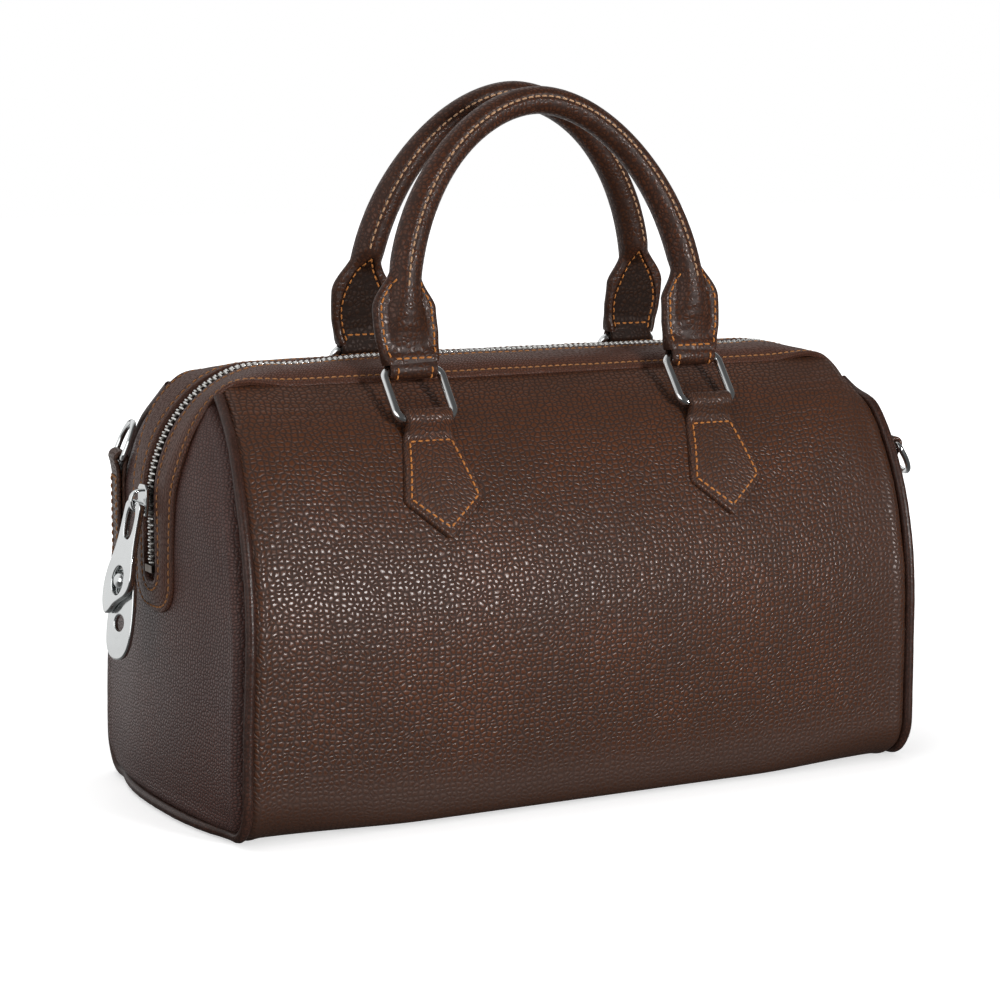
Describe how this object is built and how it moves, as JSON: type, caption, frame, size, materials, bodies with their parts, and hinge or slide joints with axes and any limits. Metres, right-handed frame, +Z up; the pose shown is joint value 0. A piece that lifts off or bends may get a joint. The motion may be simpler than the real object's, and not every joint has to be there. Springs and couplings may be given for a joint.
{
  "type": "zip-top handbag",
  "caption": "Barrel-shaped zip-top leather handbag with rolled handles on rectangular rings, piped ends, strap rings and a metal zip with a hanging pull.",
  "frame": {"origin": "on the floor, in the middle of the bottom panel", "axes": "+X along the bag to the viewer's right, +Y to its back, +Z up"},
  "size_m": [0.3638, 0.158, 0.3003],
  "materials": {
    "leather": "pebbled, semi-gloss",
    "trim_leather": "pebbled",
    "piping_leather": "glossy",
    "handle_leather": "satin",
    "rope": "twisted cotton",
    "lining": "woven",
    "board": "fibre board",
    "tape": "woven",
    "zip_metal": "nickel plated",
    "bright_metal": "polished nickel"
  },
  "bodies": {
    "bag": {"front_panel": "leather", "back_panel": "leather", "bottom_panel": "leather", "left_end_panel": "leather", "right_end_panel": "leather", "left_piping": "piping_leather", "right_piping": "piping_leather", "front_lining": "lining", "back_lining": "lining", "bottom_lining": "lining", "left_end_lining": "lining", "right_end_lining": "lining", "base_board": "board", "slip_pocket": "lining", "left_zip_facing": "trim_leather", "right_zip_facing": "trim_leather", "left_zip_stop": "zip_metal", "right_zip_stop": "zip_metal", "left_strap_tab": "trim_leather", "right_strap_tab": "trim_leather", "left_zip_tape_front": "tape", "left_zip_teeth_front": "zip_metal", "front_left_handle_tab": "trim_leather", "left_zip_tape_back": "tape", "left_zip_teeth_back": "zip_metal", "back_left_handle_tab": "trim_leather", "right_zip_tape_front": "tape", "right_zip_teeth_front": "zip_metal", "front_right_handle_tab": "trim_leather", "right_zip_tape_back": "tape", "right_zip_teeth_back": "zip_metal", "back_right_handle_tab": "trim_leather"},
    "front_mouth": {"front_zip_facing": "trim_leather", "front_zip_tape": "tape", "front_zip_teeth": "zip_metal"},
    "front_handle": {"front_handle_cover": "handle_leather", "front_handle_core": "rope"},
    "front_left_ring_body": {"front_left_ring": "bright_metal"},
    "front_right_ring_body": {"front_right_ring": "bright_metal"},
    "back_mouth": {"back_zip_facing": "trim_leather", "back_zip_tape": "tape", "back_zip_teeth": "zip_metal"},
    "back_handle": {"back_handle_cover": "handle_leather", "back_handle_core": "rope"},
    "back_left_ring_body": {"back_left_ring": "bright_metal"},
    "back_right_ring_body": {"back_right_ring": "bright_metal"},
    "slider": {"slider_body": "bright_metal", "slider_bridge": "bright_metal"},
    "pull": {"pull_plate": "bright_metal", "pull_rivet": "bright_metal"},
    "tongue": {"pull_tongue": "bright_metal"},
    "left_strap_ring_body": {"left_strap_ring": "bright_metal"},
    "right_strap_ring_body": {"right_strap_ring": "bright_metal"}
  },
  "joints": [
    {"name": "front_mouth_fold", "type": "hinge", "parent": "bag", "child": "front_mouth", "pos_m": [0, -0.026, 0.1769], "axis": [1, 0, 0], "range_deg": [0, 62]},
    {"name": "front_left_ring_hinge", "type": "hinge", "parent": "bag", "child": "front_left_ring_body", "pos_m": [-0.068, -0.0502, 0.1634], "axis": [1, 0, 0], "range_deg": [0, 100]},
    {"name": "front_right_ring_hinge", "type": "hinge", "parent": "bag", "child": "front_right_ring_body", "pos_m": [0.068, -0.0502, 0.1634], "axis": [1, 0, 0], "range_deg": [0, 100]},
    {"name": "front_handle_hinge", "type": "hinge", "parent": "front_left_ring_body", "child": "front_handle", "pos_m": [-0.068, -0.03579, 0.18196], "axis": [1, 0, 0], "range_deg": [0, 65]},
    {"name": "back_mouth_fold", "type": "hinge", "parent": "bag", "child": "back_mouth", "pos_m": [0, 0.026, 0.1769], "axis": [-1, 0, 0], "range_deg": [0, 62]},
    {"name": "back_left_ring_hinge", "type": "hinge", "parent": "bag", "child": "back_left_ring_body", "pos_m": [-0.054, 0.0502, 0.1634], "axis": [-1, 0, 0], "range_deg": [0, 88]},
    {"name": "back_right_ring_hinge", "type": "hinge", "parent": "bag", "child": "back_right_ring_body", "pos_m": [0.082, 0.0502, 0.1634], "axis": [-1, 0, 0], "range_deg": [0, 88]},
    {"name": "back_handle_hinge", "type": "hinge", "parent": "back_left_ring_body", "child": "back_handle", "pos_m": [-0.054, 0.03998, 0.18456], "axis": [-1, 0, 0], "range_deg": [0, 65]},
    {"name": "slider_run", "type": "hinge", "parent": "bag", "child": "slider", "pos_m": [-0.115, 0, 0.1305], "axis": [0, 1, 0], "range_deg": [0, 72]},
    {"name": "pull_hinge", "type": "hinge", "parent": "slider", "child": "pull", "pos_m": [-0.1754, 0, 0.1295], "axis": [-0.2158, 0.9649, 0.1494], "range_deg": [0, 130]},
    {"name": "tongue_swivel", "type": "hinge", "parent": "pull", "child": "tongue", "pos_m": [-0.18159, 0.0036, 0.09729], "axis": [-0.9582, -0.2387, 0.1575], "range_deg": [-25, 25]},
    {"name": "left_strap_ring_hinge", "type": "hinge", "parent": "bag", "child": "left_strap_ring_body", "pos_m": [-0.1652, 0.047, 0.1425], "axis": [-0.1987, -0.9801, 0], "range_deg": [0, 155]},
    {"name": "right_strap_ring_hinge", "type": "hinge", "parent": "bag", "child": "right_strap_ring_body", "pos_m": [0.1675, -0.047, 0.1395], "axis": [-0.1987, -0.9801, 0], "range_deg": [0, 150]}
  ],
  "couplings": [
    {"joint": "front_right_ring_hinge", "follows": "front_left_ring_hinge", "ratio": 1},
    {"joint": "back_right_ring_hinge", "follows": "back_left_ring_hinge", "ratio": 1}
  ]
}
